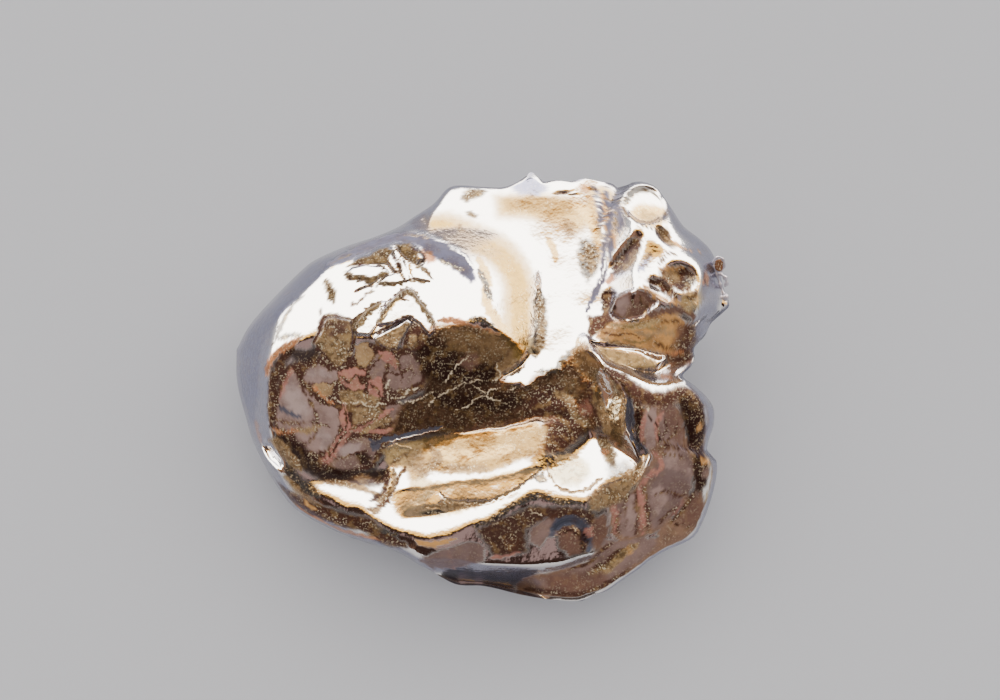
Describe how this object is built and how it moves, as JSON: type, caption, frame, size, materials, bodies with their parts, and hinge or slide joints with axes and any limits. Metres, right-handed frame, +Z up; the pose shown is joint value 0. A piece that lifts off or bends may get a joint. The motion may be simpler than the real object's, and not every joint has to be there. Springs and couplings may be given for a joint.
{
  "type": "native silver nugget",
  "caption": "Thick, bright native silver nugget with a smooth lobe, a curved trough, a folded pad, knobs and a rolled rim, resting on a worn flat.",
  "frame": {"origin": "centre of the bounding box at the level of the worn flat it rests on", "axes": "+X along the nugget's length towards the knobs and apron, +Y away from the rolled front rim, +Z up"},
  "size_m": [0.0296, 0.0266, 0.0109],
  "materials": {
    "native_silver": "bright native silver, slightly warm, with brown tarnish in the hollows"
  },
  "bodies": {
    "root": {"silver_nugget": "native_silver"}
  },
  "joints": []
}
